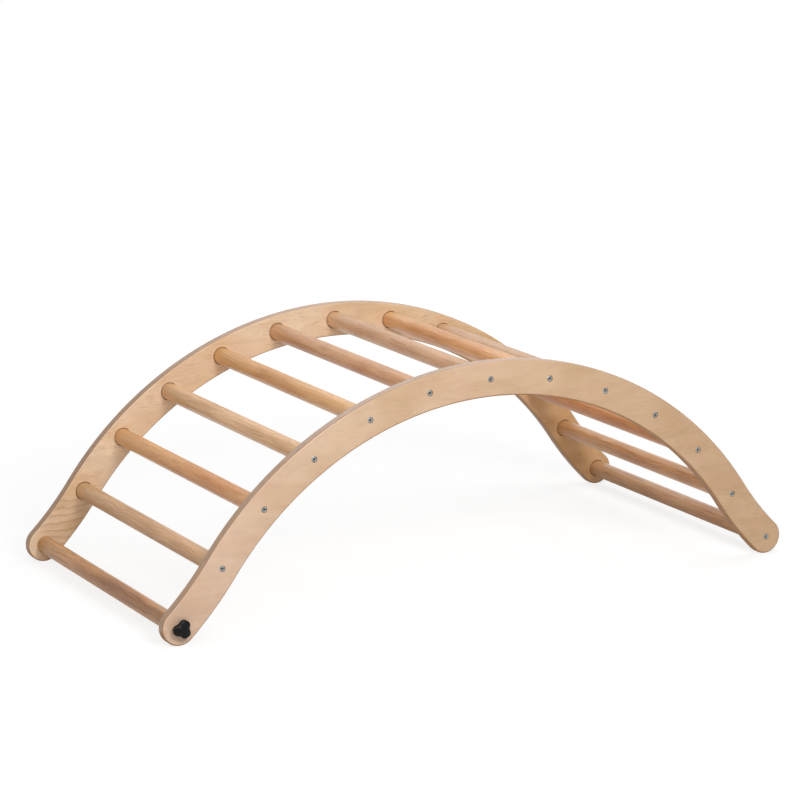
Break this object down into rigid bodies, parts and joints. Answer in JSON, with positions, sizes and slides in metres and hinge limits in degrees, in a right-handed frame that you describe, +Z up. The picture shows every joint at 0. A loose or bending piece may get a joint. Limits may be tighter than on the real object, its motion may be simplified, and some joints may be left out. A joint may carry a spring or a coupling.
{
  "type": "rocker arch",
  "caption": "Children's wooden climbing and rocker arch: two curved plywood sides joined by round rungs, the crossbar at one foot clamped by lobed knobs.",
  "frame": {"origin": "centre of the base, on the floor plane that both feet of both sides touch", "axes": "+X along the arch's length, with the clamped crossbar at the -X foot; +Y across, from the near side to the far side; +Z up"},
  "size_m": [1.1928, 0.5986, 0.403],
  "materials": {
    "side_ply": "clear-coated birch plywood, satin, with laminated edges",
    "rung_wood": "clear-coated hardwood dowel, satin",
    "screw_steel": "bright zinc plated",
    "stud_steel": "zinc-plated thread",
    "insert_brass": "plain brass",
    "knob_plastic": "black moulded plastic, satin"
  },
  "bodies": {
    "frame": {"near_side_panel": "side_ply", "far_side_panel": "side_ply", "crossbar": "rung_wood", "rung_02": "rung_wood", "rung_03": "rung_wood", "rung_04": "rung_wood", "rung_05": "rung_wood", "rung_06": "rung_wood", "rung_07": "rung_wood", "rung_08": "rung_wood", "rung_09": "rung_wood", "rung_10": "rung_wood", "rung_11": "rung_wood", "rung_12": "rung_wood", "rung_13": "rung_wood", "near_rung_screws": "screw_steel", "far_rung_screws": "screw_steel", "near_crossbar_insert": "insert_brass", "far_crossbar_insert": "insert_brass"},
    "near_washer": {"near_knob_washer": "screw_steel"},
    "near_knob": {"near_knob": "knob_plastic", "near_knob_stud": "stud_steel"},
    "far_washer": {"far_knob_washer": "screw_steel"},
    "far_knob": {"far_knob": "knob_plastic", "far_knob_stud": "stud_steel"}
  },
  "joints": [
    {"name": "near_knob_travel", "type": "slide", "parent": "frame", "child": "near_washer", "axis": [0, -1, 0], "range_m": [0, 0.015]},
    {"name": "near_knob_turn", "type": "hinge", "parent": "near_washer", "child": "near_knob", "pos_m": [-0.56648, -0.283, 0.03], "axis": [0, -1, 0], "range_deg": [0, 4320]},
    {"name": "far_knob_travel", "type": "slide", "parent": "frame", "child": "far_washer", "axis": [0, 1, 0], "range_m": [0, 0.015]},
    {"name": "far_knob_turn", "type": "hinge", "parent": "far_washer", "child": "far_knob", "pos_m": [-0.56648, 0.283, 0.03], "axis": [0, 1, 0], "range_deg": [0, 4320]}
  ],
  "couplings": [
    {"joint": "near_knob_turn", "follows": "near_knob_travel", "rad_per_m": 5026.5},
    {"joint": "far_knob_turn", "follows": "far_knob_travel", "rad_per_m": 5026.5}
  ]
}
